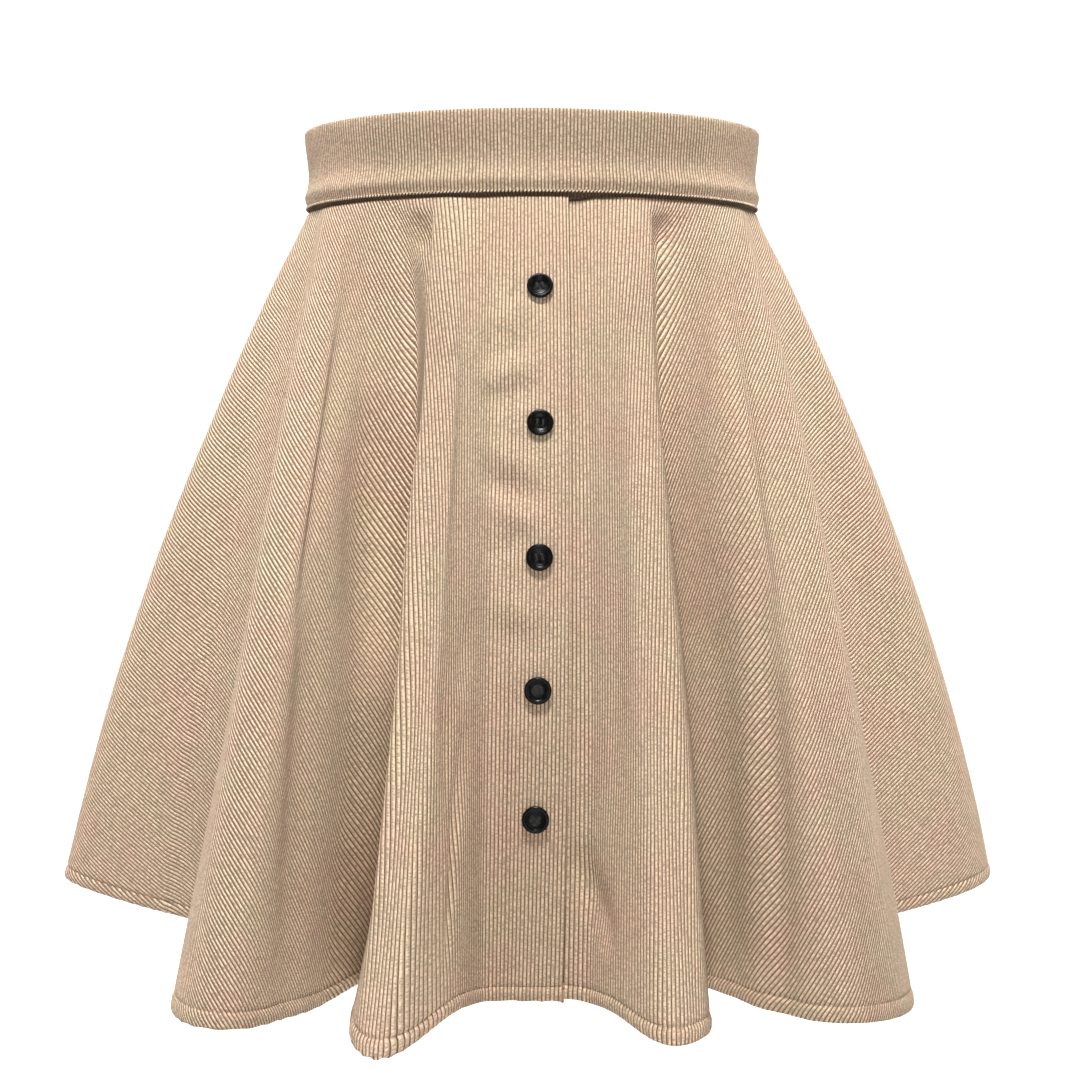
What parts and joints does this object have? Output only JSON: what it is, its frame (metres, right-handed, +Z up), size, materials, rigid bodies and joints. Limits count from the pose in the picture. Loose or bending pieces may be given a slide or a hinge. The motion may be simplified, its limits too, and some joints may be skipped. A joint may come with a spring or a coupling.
{
  "type": "a-line skirt",
  "caption": "Flared corduroy A-line mini skirt with a wide waistband, deep soft folds, a front placket with sewn-on buttons and a concealed side zip.",
  "frame": {"origin": "centre of the waistband at half its height, where the wearer's waist holds it", "axes": "front faces -Y, the wearer's left is +X, +Z is up"},
  "size_m": [0.5438, 0.5015, 0.4335],
  "materials": {
    "corduroy": "beige fine-wale cotton corduroy, matt",
    "button_resin": "black resin, satin",
    "zip_tape": "woven tape dyed to match",
    "zip_metal": "enamelled to match the cloth"
  },
  "bodies": {
    "skirt": {"waistband": "corduroy", "front_right": "corduroy", "front_left": "corduroy", "back": "corduroy", "button_1": "button_resin", "button_2": "button_resin", "button_3": "button_resin", "button_4": "button_resin", "button_5": "button_resin", "zip_tape": "zip_tape", "zip_slider": "zip_metal"},
    "zip_pull": {"zip_pull": "zip_metal"}
  },
  "joints": [
    {"name": "zip_pull_swing", "type": "hinge", "parent": "skirt", "child": "zip_pull", "pos_m": [0.12472, 0.02307, 0.014], "axis": [0.3382, -0.9411, 0], "range_deg": [-8, 180]}
  ]
}
